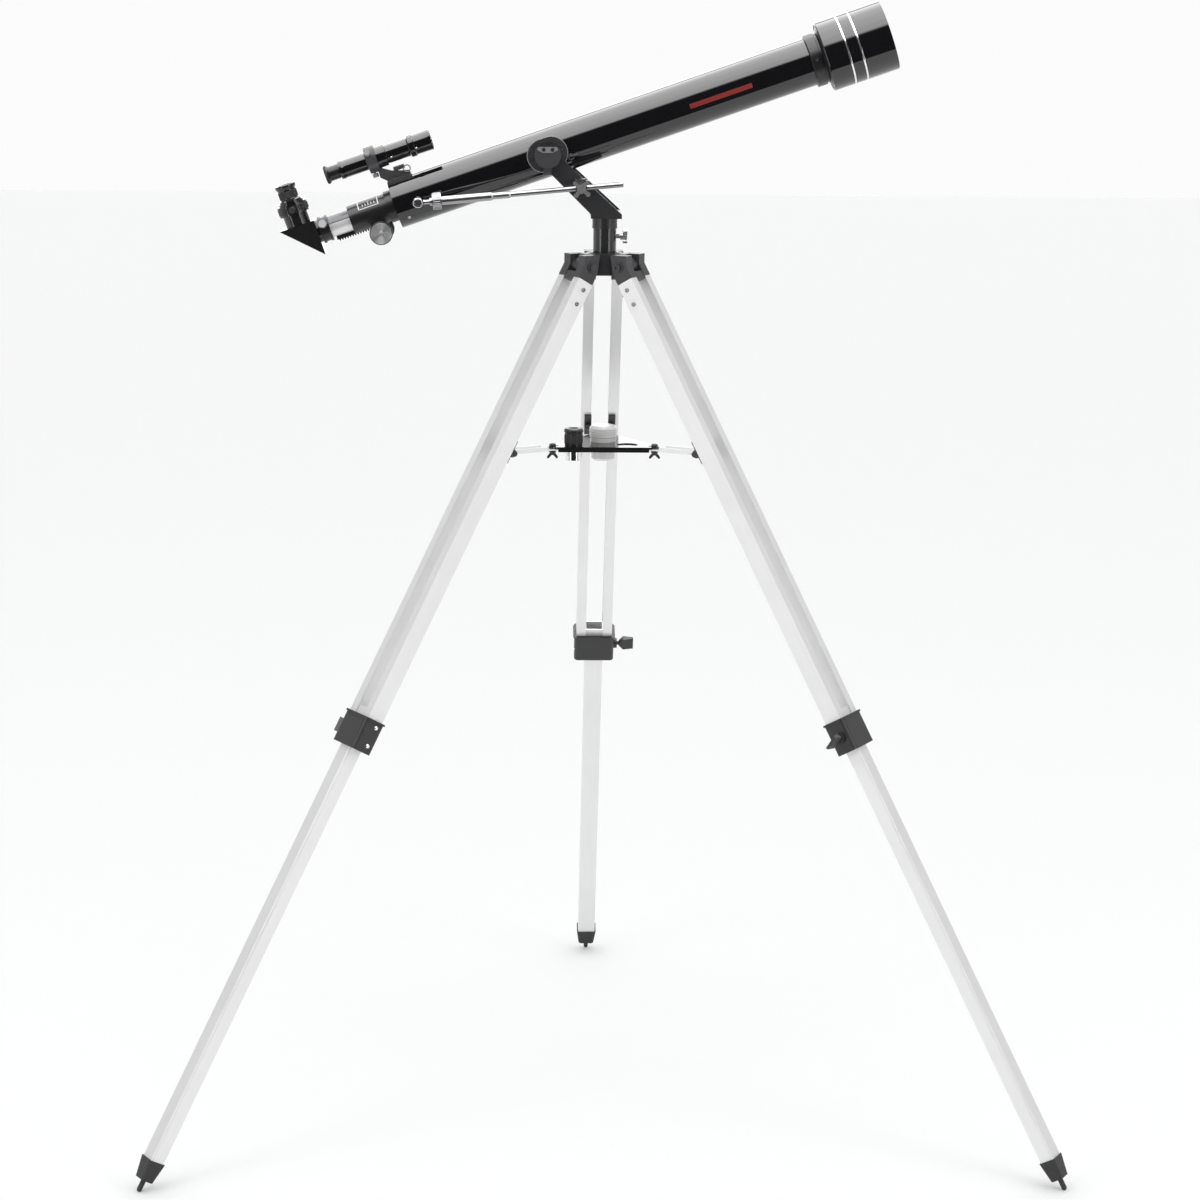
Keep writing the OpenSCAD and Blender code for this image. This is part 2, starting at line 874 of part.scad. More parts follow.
module finder_eyepiece() {
    color("black")
    on_tube()
        translate([0, 0, finder_v])
            xturn([
                [-249.5, 5], [-249.5, 9.8], [-248.8, 10.3], [-246, 10.3], [-244.4, 8.4],
                [-233, 8.4], [-233, 7.55], [-214, 7.55], [-214, 5.6], [-246, 5.6]
            ]);
}

module finder_bracket() {
    ring_s0 = -199;
    ring_s1 = -187;
    color("black")
    on_tube()
    difference() {
        union() {
            translate([0, 0, finder_v])
                xcyl(ring_s0, ring_s1, 15.4);
            // stalk from the ring forward and down to the foot
            translate([0, 5, 0])
                rotate([90, 0, 0])
                    linear_extrude(height = 10)
                        polygon([
                            [-190.4, 43.5], [ring_s1, 46], [-176, 39], [-168, 36],
                            [-156, 33], [-156, 29], [-184, 29], [-190.4, 35]
                        ]);
            // saddle foot on the tube's back
            intersection() {
                xcyl(-184, -155, tube_r + 3);
                translate([-190, -12, 20])
                    cube([40, 24, 20]);
            }
        }
        translate([0, 0, finder_v])
            xcyl(ring_s0 - 1, ring_s1 + 3, 12.4 + 2 * sit);
        xcyl(-200, -100, tube_r + sit);
        // holes of the three adjusting screws
        for (a = [60, 180, 300])
            translate([finder_screw_s, 0, finder_v])
                rotate([a, 0, 0])
                    cylinder(h = 30, r = 1.5 + fit, $fn = fine_fn);
        // hole of the clamp stud in the foot
        translate([-160, 0, 20])
            cylinder(h = 30, r = 1.6, $fn = fine_fn);
    }
    // clamp nut block on the stalk
    color("black")
    on_tube()
        translate([-168, 0, 39.2])
            xbar(-5, 8, 12, 5, 1.5);
}

// Three knurled screws that aim the finder in its ring
module finder_screws() {
    color("silver")
    on_tube()
        for (a = [60, 180, 300])
            translate([finder_screw_s, 0, finder_v])
                rotate([a, 0, 0])
                    translate([0, 0, 12.7]) {
                        cylinder(h = 5, r = 1.5, $fn = fine_fn);
                        translate([0, 0, 3.4])
                            cylinder(h = 4.6, r = 3.4, $fn = fine_fn);
                    }
}

// ---------- slow motion rod ----------

module rod_stud() {
    color("dimgray")
    on_tube()
        translate([stud_s, 0, stud_v]) {
            difference() {
                ycyl(rod_y + 3.6, -20, 5.5);
                translate([-10, 0, -stud_v])
                    xcyl(-10, 40, tube_r + sit);
            }
            ycyl(rod_y - 3.4, rod_y + 4, 3);
            ycyl(rod_y - 5, rod_y - 3.3, 3.9);
        }
}

module slow_motion_rod() {
    color("silver")
    on_rod()
    difference() {
        union() {
            ycyl(-3.2, 3.2, 6.6);
            xturn([
                [4, 0], [4, 3.2], [9, 2.6], [13.5, 2.6], [13.5, 4.6], [16.2, 4.6], [16.2, 3],
                [27.2, 3], [27.2, 4.9], [84, 4.9], [86, 3.9], [104, 3.9], [106, 3],
                [rod_len - 0.6, 3], [rod_len, 2.4], [rod_len, 0]
            ]);
        }
        ycyl(-10, 10, 3 + fit);
    }
}

module knurled_nut() {
    teeth = 24;
    color("silver")
    on_rod()
        translate([16.7, 0, 0])
            rotate([0, 90, 0])
                difference() {
                    union() {
                        cylinder(h = 10, r = 9.3, $fn = round_fn);
                        for (k = [0:teeth - 1])
                            rotate([0, 0, k * 360 / teeth])
                                translate([9.2, 0, 1])
                                    cylinder(h = 8, r = 0.5, $fn = 16);
                    }
                    translate([0, 0, -1])
                        cylinder(h = 20, r = 3 + fit, $fn = fine_fn);
                }
}

// Block on the yoke arm that the rod slides through
module rod_swivel() {
    arm_face = -arm_out - sit;
    slot = 15.6;
    color("silver")
    on_rod()
        translate([clamp_u, -rod_y, 0])
            difference() {
                union() {
                    ycyl(rod_y - 5.5, arm_face, 6.2);
                    translate([-6.2, rod_y - 5.5, -10.4])
                        cube([12.4, 11, 20.8]);
                    ycyl(arm_face - 1, arm_face + 8, 3);
                }
                translate([-10, rod_y - 3 - 0.15, -slot / 2])
                    cube([20, 6.3, slot]);
                ycyl(rod_y - 20, rod_y - 2, 2.5 + fit);
            }
}

module star_knob() {
    color("silver")
    on_rod()
        translate([clamp_u, 0, 0]) {
            ycyl(-6, -3.4, 2.5);
            ycyl(-8.5, -5.7, 4.6);
            rotate([90, 0, 0])
                translate([0, 0, 8.4])
                    linear_extrude(height = 6)
                        star_outline(11.5, 5.2);
        }
}

// ---------- legs ----------

// Two closed rails with a guide groove for the extension in their inner faces
module leg_rails(i) {
    hollow_w = rail_w - 3 * rail_wall;
    inner_d = rail_d - 2 * rail_wall;
    color("lightgray")
    on_leg(i)
        for (side = [-1, 1])
            difference() {
                translate([rail_u0, side > 0 ? rail_in : -leg_w / 2, -rail_d / 2])
                    cube([rail_u1 - rail_u0, rail_w, rail_d]);
                // guide groove
                translate([
                    rail_u0 - 1,
                    side > 0 ? rail_in - 1 : -rail_in - rail_wall,
                    -inner_d / 2
                ])
                    cube([rail_u1, rail_wall + 1, inner_d]);
                // hollow
                translate([
                    rail_u0 - 1,
                    side > 0 ? rail_in + 2 * rail_wall : -leg_w / 2 + rail_wall,
                    -inner_d / 2
                ])
                    cube([rail_u1, hollow_w, inner_d]);
            }
}

// Moulded fork that carries both rails and swings on the head's lug
module leg_top(i) {
    cheek_w = leg_w / 2 - cheek_in;
    plug_y = rail_in + 2 * rail_wall + sit;
    plug_w = rail_w - 3 * rail_wall - 2 * sit;
    plug_d = rail_d - 2 * rail_wall - 2 * sit;
    ear_n = 16;
    back_n = -2;
    top_h = head_z1 - hinge_z - 0.4;
    ear_u = (ear_n * sin(leg_tilt) - top_h) / cos(leg_tilt);
    back_u = (back_n * sin(leg_tilt) - top_h) / cos(leg_tilt);
    end_u = rail_u0 - sit;
    color("dimgray")
    on_leg(i) {
        for (side = [-1, 1])
            difference() {
                union() {
                    // cheek, cut off level with the top of the head
                    translate([0, side > 0 ? leg_w / 2 : -cheek_in, 0])
                        rotate([90, 0, 0])
                            linear_extrude(height = cheek_w)
                                polygon([
                                    [ear_u, ear_n], [2.7, rail_d / 2 + 0.5],
                                    [end_u, rail_d / 2 + 0.5], [end_u, -rail_d / 2],
                                    [2.5, -rail_d / 2 + 0.5], [back_u, back_n]
                                ]);
                    // plug inside the rail
                    translate([10, side > 0 ? plug_y : -plug_y - plug_w, -plug_d / 2])
                        cube([60, plug_w, plug_d]);
                    translate([0, side > 0 ? leg_w / 2 - 1 : -leg_w / 2 - 1.4, 0])
                        ycyl(0, 2.4, 6.6);
                }
                ycyl(-30, 30, bolt_r + fit);
            }
        // bridge that ties the two cheeks together below the lug
        translate([11, -rail_in + sit, 2])
            cube([10, 2 * rail_in - 2 * sit, 8]);
    }
}

// Clamp collar at the rails' lower ends
module leg_collar(i) {
    color("dimgray")
    on_leg(i)
        difference() {
            union() {
                xbar(collar_u0, collar_u0 + collar_len, collar_w, collar_d, 5);
                xbar(collar_u0, collar_u0 + 2.4, collar_w + 3, collar_d + 3, 6);
                translate([knob_u, 0, 0])
                    ycyl(-collar_w / 2 - 4.4, 0, 6.6);
            }
            translate([collar_u0 - 1, -leg_w / 2 - sit, -rail_d / 2 - sit])
                cube([rail_u1 - collar_u0 + 1 + sit, leg_w + 2 * sit, rail_d + 2 * sit]);
            translate([collar_u0, -ext_w / 2 - 0.3, -ext_d / 2 - 0.3])
                cube([60, ext_w + 0.6, ext_d + 0.6]);
            translate([knob_u, 0, 0])
                ycyl(-60, 0, 2.5 + fit);
        }
}

// Wing-headed clamp screw
module leg_knob(i) {
    wall_y = -leg_w / 2 - 0.3;
    neck_y = -collar_w / 2 - 4.4;
    turn = [0, 0, 62];
    color("black")
    on_leg(i)
        translate([knob_u, 0, 0]) {
            ycyl(neck_y - 3, wall_y, 2.5);
            rotate([0, turn[i], 0])
                hull() {
                    ycyl(neck_y - 3.2, neck_y - 2.4, 3.4);
                    translate([-8.2, neck_y - 9, -3.8])
                        cube([16.4, 1, 7.6]);
                    translate([-8.6, neck_y - 21, -1.4])
                        cube([17.2, 1, 2.8]);
                }
        }
}

module leg_extension(i) {
    color("lightgray")
    on_leg(i)
        difference() {
            xbar(ext_u0, ext_u1, ext_w, ext_d, 2.2);
            xbar(ext_u0 - 1, ext_u1 + 1, ext_w - 2 * ext_wall, ext_d - 2 * ext_wall, 1.2);
        }
}

// Tapered cap with a rounded ground tip, flattened where it meets the floor
module foot(i) {
    color("black")
    difference() {
        on_leg(i)
            difference() {
                union() {
                    hull() {
                        xbar(foot_u0, foot_u0 + 1, ext_w + 3, ext_d + 3, 3);
                        xbar(foot_u0 + foot_len - 1, foot_u0 + foot_len, ext_w - 2, ext_d - 2, 4);
                    }
                    // ground tip, rounded in four steps
                    xturn([
                        [foot_u0 + foot_len - 1, 0], [foot_u0 + foot_len - 1, tip_r],
                        [tip_u, tip_r], [tip_u + 1.6, 2.54], [tip_u + tip_r * 0.866, tip_r / 2],
                        [tip_u + tip_r, 0]
                    ]);
                }
                // socket for the extension's end
                translate([foot_u0 - 1, -ext_w / 2 - sit, -ext_d / 2 - sit])
                    cube([3 + sit, ext_w + 2 * sit, ext_d + 2 * sit]);
            }
        translate([-1000, -1000, -50])
            cube([2000, 2000, 50]);
    }
}

// Pair of lugged blocks under the rails, with the brace arm's pin and nuts
module brace_bracket(i) {
    face = -rail_d / 2 - sit;
    block_t = 3.2;
    block_w = 8.4;
    lug_t = 1.6;
    lug_y = 10.2;
    color("black")
    on_leg(i)
        translate([brace_u, 0, 0]) {
            for (side = [-1, 1])
                difference() {
                    union() {
                        translate([-14, side > 0 ? lug_y : -lug_y - block_w, face - block_t])
                            cube([28, block_w, block_t]);
                        translate([-5, side > 0 ? lug_y : -lug_y - lug_t, pin_n])
                            cube([10, lug_t, face - pin_n]);
                        translate([0, side > 0 ? lug_y : -lug_y - lug_t, pin_n])
                            ycyl(0, lug_t, 5);
                    }
                    translate([0, 0, pin_n])
                        ycyl(-40, 40, pin_r);
                }
            translate([0, 0, pin_n]) {
                ycyl(-18, 18, pin_r);
                ycyl(-17, -13, 3.4);
                ycyl(13, 17, 3.4);
            }
        }
}

// Channel-shaped strap hinged to the leg and screwed under a tray corner
module brace_arm(i) {
    arm_t2 = 1.6;
    half_w = 9.4;
    flange_t = 1.4;
    flange_x0 = 79;
    pin_over = brace_pin_z - arm_top + arm_t2;
    color("lightgray")
    rotate([0, 0, leg_angles[i]])
        translate([0, 0, arm_top - arm_t2])
            difference() {
                union() {
                    translate([tray_screw_r, -7, 0])
                        cube([flange_x0 - tray_screw_r + 1, 14, arm_t2]);
                    translate([tray_screw_r, 0, 0])
                        cylinder(h = arm_t2, r = 7, $fn = fine_fn);
                    translate([flange_x0, -half_w, 0])
                        cube([brace_pin_r - 4.5 - flange_x0, 2 * half_w, arm_t2]);
                    for (y = [-half_w, half_w - flange_t]) {
                        translate([flange_x0, y, 0])
                            cube([brace_pin_r - flange_x0, flange_t, 5]);
                        translate([brace_pin_r, y, pin_over])
                            ycyl(0, flange_t, 3.4);
                    }
                }
                translate([brace_pin_r, 0, pin_over])
                    ycyl(-40, 40, pin_r + fit);
                translate([tray_screw_r, 0, -5])
                    cylinder(h = 10, r = 2.5, $fn = fine_fn);
            }
}

// ---------- draw ----------

head_casting();
head_plate();
pillar_tube();
hinge_bolts();
accessory_tray();
spare_eyepiece();
eyepiece_case();
azimuth_lock_screw();
yoke();
azimuth_spindle();
trunnion_caps();
main_tube();
objective_cell();
dew_shield();
objective_lens();
trunnion_saddles();
focuser_body();
rod_stud();
finder_bracket();
finder_tube();
finder_screws();
finder_eyepiece();
drawtube();
drawtube_rack();
drawtube_collar();
focus_pinion();
focus_knobs();
diagonal_housing();
diagonal_prism();
eyepiece();
drawtube_thumbscrew();
holder_thumbscrew();
slow_motion_rod();
knurled_nut();
rod_swivel();
star_knob();
for (i = [0:2]) {
    leg_rails(i);
    leg_top(i);
    leg_collar(i);
    leg_extension(i);
    foot(i);
    leg_knob(i);
    brace_bracket(i);
    brace_arm(i);
}
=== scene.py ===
"""Looks for the telescope on its tripod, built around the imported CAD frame. Metres, +Z up."""

import json
import math

import bmesh
import bpy
from mathutils import Matrix, Vector


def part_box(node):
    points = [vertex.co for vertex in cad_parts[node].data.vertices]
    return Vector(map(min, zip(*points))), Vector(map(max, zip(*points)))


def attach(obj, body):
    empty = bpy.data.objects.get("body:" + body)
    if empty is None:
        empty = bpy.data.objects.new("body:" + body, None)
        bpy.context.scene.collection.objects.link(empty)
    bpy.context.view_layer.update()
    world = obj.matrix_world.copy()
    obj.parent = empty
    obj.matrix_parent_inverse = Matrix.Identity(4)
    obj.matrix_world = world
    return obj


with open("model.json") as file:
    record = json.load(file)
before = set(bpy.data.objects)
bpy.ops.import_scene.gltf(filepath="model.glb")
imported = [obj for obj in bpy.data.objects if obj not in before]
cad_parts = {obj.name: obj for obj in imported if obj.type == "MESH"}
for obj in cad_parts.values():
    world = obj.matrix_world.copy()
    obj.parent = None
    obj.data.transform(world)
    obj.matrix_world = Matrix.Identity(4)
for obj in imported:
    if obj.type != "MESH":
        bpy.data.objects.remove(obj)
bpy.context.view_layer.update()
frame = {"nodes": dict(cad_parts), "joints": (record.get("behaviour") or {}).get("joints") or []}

NODES = frame["nodes"]
JOINTS = {joint["name"]: joint for joint in frame["joints"]}
MM = 0.001
SHARP_DEGREES = 32
LEGS = (1, 2, 3)


# ---------- reference frames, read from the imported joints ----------

def axes_matrix(origin, x_axis, y_axis, z_axis):
    """4x4 whose columns are three unit axes and an origin."""
    matrix = Matrix.Identity(4)
    for column, axis in enumerate((x_axis, y_axis, z_axis)):
        matrix.col[column] = (*Vector(axis).normalized(), 0)
    matrix.col[3] = (*origin, 1)
    return matrix


def tube_frame():
    """Local x forward along the optical axis from the altitude pivot, y across, z up."""
    forward = Vector(JOINTS["dew_shield_slide"]["axis"]).normalized()
    across = Vector((0, 1, 0))
    return axes_matrix(JOINTS["altitude"]["pos_m"], forward, across, forward.cross(across))


def leg_frame(number):
    """Local x down the leg from its hinge, y along the hinge, z out of the leg's outward face."""
    down = -Vector(JOINTS[f"leg_{number}_slide"]["axis"]).normalized()
    hinge = Vector(JOINTS[f"leg_{number}_fold"]["axis"]).normalized()
    return axes_matrix(JOINTS[f"leg_{number}_fold"]["pos_m"], down, hinge, down.cross(hinge))


def spin(degrees, axis="X"):
    return Matrix.Rotation(math.radians(degrees), 4, axis)


def place(matrix, x=0.0, y=0.0, z=0.0):
    """The frame moved by x, y, z millimetres along its own axes."""
    return matrix @ Matrix.Translation((x * MM, y * MM, z * MM))


def upright(x, y, z):
    """A frame at a place in metres whose local x points straight up."""
    return Matrix.Translation((x, y, z)) @ spin(-90, "Y")


def away_from_centre(joint):
    """The level direction from the middle of the stand towards a joint."""
    way = Vector(JOINTS[joint]["pos_m"])
    way.z = 0
    return way.normalized()


TUBE = tube_frame()
LEG = {number: leg_frame(number) for number in LEGS}


# ---------- materials ----------

SMUDGE_SCALE = 14.0  # broad unevenness, in waves per metre


def input_of(node, *names):
    """The first input socket that exists among these names."""
    for name in names:
        if name in node.inputs:
            return node.inputs[name]
    raise KeyError(names)


def add_grain_coordinates(tree, direction, stretch):
    """Object coordinates squeezed along one direction, so that noise becomes streaks along it."""
    coordinates = tree.nodes.new("ShaderNodeTexCoord")
    if direction is None:
        return coordinates.outputs["Object"]
    along = tree.nodes.new("ShaderNodeVectorMath")
    along.operation = "DOT_PRODUCT"
    along.inputs[1].default_value = direction
    tree.links.new(coordinates.outputs["Object"], along.inputs[0])
    back = tree.nodes.new("ShaderNodeVectorMath")
    back.operation = "SCALE"
    back.inputs[0].default_value = direction
    scale = tree.nodes.new("ShaderNodeMath")
    scale.operation = "MULTIPLY"
    scale.inputs[1].default_value = -(1 - 1 / stretch)
    tree.links.new(along.outputs["Value"], scale.inputs[0])
    tree.links.new(scale.outputs[0], back.inputs["Scale"])
    total = tree.nodes.new("ShaderNodeVectorMath")
    total.operation = "ADD"
    tree.links.new(coordinates.outputs["Object"], total.inputs[0])
    tree.links.new(back.outputs["Vector"], total.inputs[1])
    return total.outputs["Vector"]


def add_noise(tree, vector, scale, detail):
    noise = tree.nodes.new("ShaderNodeTexNoise")
    noise.inputs["Scale"].default_value = scale
    noise.inputs["Detail"].default_value = detail
    tree.links.new(vector, noise.inputs["Vector"])
    return noise.outputs["Fac"]


def add_range(tree, value, low, high):
    remap = tree.nodes.new("ShaderNodeMapRange")
    remap.inputs["To Min"].default_value = low
    remap.inputs["To Max"].default_value = high
    tree.links.new(value, remap.inputs["Value"])
    return remap.outputs["Result"]


def surface(name, colour, rough, metallic=0.0, rough_spread=0.08, shade_spread=0.15, grain=900.0,
            bump=0.05, bump_distance=0.0001, direction=None, stretch=40.0, specular=0.5, coat=0.0,
            coat_rough=0.05, transmission=0.0, ior=1.5):
    """A principled material whose colour, roughness and relief vary with procedural noise."""
    material = bpy.data.materials.new(name)
    material.use_nodes = True
    tree = material.node_tree
    shader = tree.nodes["Principled BSDF"]
    input_of(shader, "Metallic").default_value = metallic
    input_of(shader, "Specular IOR Level", "Specular").default_value = specular
    input_of(shader, "Coat Weight", "Clearcoat").default_value = coat
    input_of(shader, "Coat Roughness", "Clearcoat Roughness").default_value = coat_rough
    input_of(shader, "Transmission Weight", "Transmission").default_value = transmission
    input_of(shader, "IOR").default_value = ior
    fine_vector = add_grain_coordinates(tree, direction, stretch)
    fine = add_noise(tree, fine_vector, grain, 4)
    plain = tree.nodes.new("ShaderNodeTexCoord").outputs["Object"]
    broad = add_noise(tree, plain, SMUDGE_SCALE, 3)
    mixed = tree.nodes.new("ShaderNodeMath")
    mixed.operation = "MULTIPLY_ADD"
    mixed.inputs[1].default_value = 0.5
    tree.links.new(fine, mixed.inputs[0])
    half = tree.nodes.new("ShaderNodeMath")
    half.operation = "MULTIPLY"
    half.inputs[1].default_value = 0.5
    tree.links.new(broad, half.inputs[0])
    tree.links.new(half.outputs[0], mixed.inputs[2])
    roughness = add_range(tree, mixed.outputs[0], max(rough - rough_spread, 0.02), rough + rough_spread)
    tree.links.new(roughness, shader.inputs["Roughness"])
    ramp = tree.nodes.new("ShaderNodeValToRGB")
    for stop, factor in zip(ramp.color_ramp.elements, (1 - shade_spread, 1 + shade_spread)):
        stop.color = (*[min(channel * factor, 1.0) for channel in colour], 1)
    ramp.color_ramp.elements[0].position = 0.3
    ramp.color_ramp.elements[1].position = 0.7
    tree.links.new(mixed.outputs[0], ramp.inputs["Fac"])
    tree.links.new(ramp.outputs["Color"], shader.inputs["Base Color"])
    relief = tree.nodes.new("ShaderNodeBump")
    relief.inputs["Strength"].default_value = bump
    relief.inputs["Distance"].default_value = bump_distance
    tree.links.new(fine, relief.inputs["Height"])
    tree.links.new(relief.outputs["Normal"], shader.inputs["Normal"])
    return material


def spun_metal(name):
    """Metal turned on a lathe: its fine rings about local x spread light into wedges."""
    material = surface(name, (0.8, 0.8, 0.81), 0.34, metallic=1.0, rough_spread=0.04, shade_spread=0.05,
                       bump=0.02)
    tree = material.node_tree
    shader = tree.nodes["Principled BSDF"]
    shader.inputs["Anisotropic"].default_value = 0.9
    shader.inputs["Anisotropic Rotation"].default_value = 0.25
    tangent = tree.nodes.new("ShaderNodeTangent")
    tangent.direction_type = "RADIAL"
    tangent.axis = "X"
    tree.links.new(tangent.outputs["Tangent"], shader.inputs["Tangent"])
    return material


def leg_direction(number):
    return tuple(Vector(JOINTS[f"leg_{number}_slide"]["axis"]).normalized())


GLOSS_BLACK = surface("gloss_black", (0.006, 0.006, 0.007), 0.07, rough_spread=0.02, specular=0.62,
                      coat=0.35, coat_rough=0.03, grain=260, bump=0.012, bump_distance=0.0002)
PILLAR_BLACK = surface("pillar_black_paint", (0.026, 0.026, 0.028), 0.1, rough_spread=0.02,
                       specular=0.6, grain=400, bump=0.015)
TRAY_BLACK = surface("tray_gloss_black", (0.012, 0.012, 0.013), 0.1, rough_spread=0.03, specular=0.6,
                     grain=500, bump=0.02)
SATIN_BLACK = surface("satin_black_plastic", (0.012, 0.012, 0.013), 0.3, grain=2200, bump=0.12)
MOULDED_GREY = surface("moulded_dark_grey", (0.035, 0.035, 0.038), 0.38, grain=1800, bump=0.2,
                       shade_spread=0.2)
COLLAR_BLACK = surface("collar_black", (0.022, 0.022, 0.024), 0.42, grain=1600, bump=0.2)
BLACK_METAL = surface("black_painted_metal", (0.026, 0.026, 0.028), 0.34, grain=1200, bump=0.08,
                      specular=0.55)
CAP_GREY = surface("cap_grey", (0.05, 0.05, 0.053), 0.3, grain=1500, bump=0.12)
RIM_GREY = surface("rim_grey", (0.2, 0.2, 0.21), 0.28, grain=1500, bump=0.06)
RUBBER = surface("black_rubber", (0.02, 0.02, 0.021), 0.6, grain=2600, bump=0.3)
CHROME = surface("polished_chrome", (0.86, 0.86, 0.87), 0.09, metallic=1.0, rough_spread=0.04,
                 shade_spread=0.03, grain=1500, bump=0.015)
ROD_METAL = surface("satin_chrome", (0.36, 0.36, 0.37), 0.32, metallic=1.0, shade_spread=0.04,
                    grain=1500, bump=0.03)
STAR_METAL = surface("star_knob_metal", (0.5, 0.5, 0.51), 0.22, metallic=0.75, shade_spread=0.05,
                     grain=1500, bump=0.03)
SCREW_STEEL = surface("dark_screw_steel", (0.36, 0.36, 0.37), 0.24, metallic=1.0, grain=1800, bump=0.06)
STEEL = surface("turned_steel", (0.55, 0.55, 0.57), 0.3, metallic=1.0, grain=1800, bump=0.08)
RING_SILVER = surface("silver_ring", (0.86, 0.86, 0.86), 0.16, metallic=0.9, shade_spread=0.03,
                      grain=2000, bump=0.05)
RED_PAINT = surface("red_print", (0.22, 0.022, 0.018), 0.3, shade_spread=0.12, grain=2500, bump=0.05)
WHITE_PRINT = surface("white_print", (0.8, 0.8, 0.78), 0.5, shade_spread=0.04, grain=2500, bump=0.05)
CLEAR_PLASTIC = surface("milky_plastic", (0.86, 0.86, 0.85), 0.22, shade_spread=0.02, grain=900,
                        bump=0.03, transmission=0.25, ior=1.45)
MILKY_EDGE = surface("milky_plastic_edge", (0.5, 0.5, 0.5), 0.25, shade_spread=0.03, bump=0.03)
# The drawtube's metal, then a darker copy of it that is painted shade for the drawtube's upper side.
DRAW_LIGHT = surface("drawtube_light", (0.74, 0.74, 0.74), 0.34, metallic=0.45, shade_spread=0.03,
                     grain=1600, bump=0.03)
DRAWTUBE_PAINTED_SHADE = surface("drawtube_painted_shade", (0.1, 0.1, 0.105), 0.3, metallic=0.6, shade_spread=0.05,
                    grain=1600, bump=0.03)
GLASS = surface("coated_glass", (0.86, 0.9, 0.98), 0.03, rough_spread=0.01, shade_spread=0.02,
                bump=0.002, transmission=0.95, ior=1.52, coat=0.5)
ALUMINIUM = {
    number: surface(f"satin_aluminium_{number}", (0.79, 0.79, 0.79), 0.38, metallic=0.5,
                    rough_spread=0.08, shade_spread=0.035, grain=1400, bump=0.08,
                    direction=leg_direction(number), stretch=60)
    for number in LEGS
}
KNOB_FACE = spun_metal("spun_knob_metal")


def paint(material, *names):
    for name in names:
        NODES[name].data.materials.clear()
        NODES[name].data.materials.append(material)


def numbered(*stems):
    return [f"{stem}_{number}" for stem in stems for number in LEGS]


paint(GLOSS_BLACK, "main_tube", "dew_shield", "finder_tube")
paint(PILLAR_BLACK, "pillar_tube")
paint(TRAY_BLACK, "accessory_tray", "diagonal_housing", "eyepiece")
paint(CAP_GREY, "trunnion_caps", "finder_bracket")
paint(MOULDED_GREY, "head_casting", "head_plate", "trunnion_saddles", *numbered("leg_top"))
paint(COLLAR_BLACK, *numbered("leg_collar", "leg_knob"))
paint(SATIN_BLACK, "objective_cell", "focuser_body", "finder_eyepiece",
      "drawtube_rack", "drawtube_collar", "spare_eyepiece")
paint(BLACK_METAL, "yoke", "hinge_bolts", *numbered("brace_bracket"))
paint(RUBBER, *numbered("foot"))
paint(DRAW_LIGHT, "drawtube")
paint(RIM_GREY, "finder_screws")
paint(ROD_METAL, "slow_motion_rod", "knurled_nut", "rod_swivel", "rod_stud",
      "drawtube_thumbscrew", "holder_thumbscrew")
paint(STAR_METAL, "star_knob", "azimuth_lock_screw")
paint(STEEL, "azimuth_spindle", "focus_pinion")
paint(MOULDED_GREY, "focus_knobs")
paint(GLASS, "objective_lens", "diagonal_prism")
paint(CLEAR_PLASTIC, "eyepiece_case")
for number in LEGS:
    paint(ALUMINIUM[number], f"leg_rails_{number}", f"leg_extension_{number}", f"brace_arm_{number}")


def paint_shade_on_upper_side(name, material, least_up):
    """Painted shade: a second, darker material on the faces that look up from the optical axis."""
    node = NODES[name]
    node.data.materials.append(material)
    up = node.matrix_world.to_3x3().transposed() @ TUBE.col[2].to_3d()
    for face in node.data.polygons:
        if face.normal.dot(up) > least_up:
            face.material_index = 1


# Painted shade: the drawtube's upper faces get the darker copy of its metal.
paint_shade_on_upper_side("drawtube", DRAWTUBE_PAINTED_SHADE, 0.34)


# ---------- mesh builders, in millimetres about a local frame ----------

def ring_of(mesh, x, radius, segments, wobble=None):
    """A ring of vertices about local x; a zero radius gives one point."""
    if radius < 1e-6:
        return [mesh.verts.new((x * MM, 0, 0))]
    ring = []
    for step in range(segments):
        angle = 2 * math.pi * step / segments
        here = radius * (wobble(step) if wobble else 1)
        ring.append(mesh.verts.new((x * MM, here * math.cos(angle) * MM, here * math.sin(angle) * MM)))
    return ring


def join_rings(mesh, first, second):
    count = max(len(first), len(second))
    if count == 1:
        return
    for step in range(count):
        after = (step + 1) % count
        corners = [first[step % len(first)], first[after % len(first)],
                   second[after % len(second)], second[step % len(second)]]
        unique = [corner for index, corner in enumerate(corners) if corner not in corners[:index]]
        mesh.faces.new(unique)


def turned(profile, segments=64, closed=False, wobble=None):
    """Solid of revolution about local x from (x, radius) points."""
    mesh = bmesh.new()
    rings = [ring_of(mesh, x, radius, segments, wobble) for x, radius in profile]
    pairs = list(zip(rings, rings[1:]))
    if closed:
        pairs.append((rings[-1], rings[0]))
    for first, second in pairs:
        join_rings(mesh, first, second)
    return mesh


def extruded(outline, bottom, top, bevel=0.0):
    """Outline in local y, z pushed along local x, with softened edges."""
    mesh = bmesh.new()
    low = [mesh.verts.new((bottom * MM, y * MM, z * MM)) for y, z in outline]
    high = [mesh.verts.new((top * MM, y * MM, z * MM)) for y, z in outline]
    mesh.faces.new(low)
    mesh.faces.new(high)
    join_rings(mesh, low, high)
    if bevel:
        bmesh.ops.bevel(mesh, geom=mesh.edges[:], offset=bevel * MM, segments=2, affect="EDGES",
                        clamp_overlap=True)
    return mesh


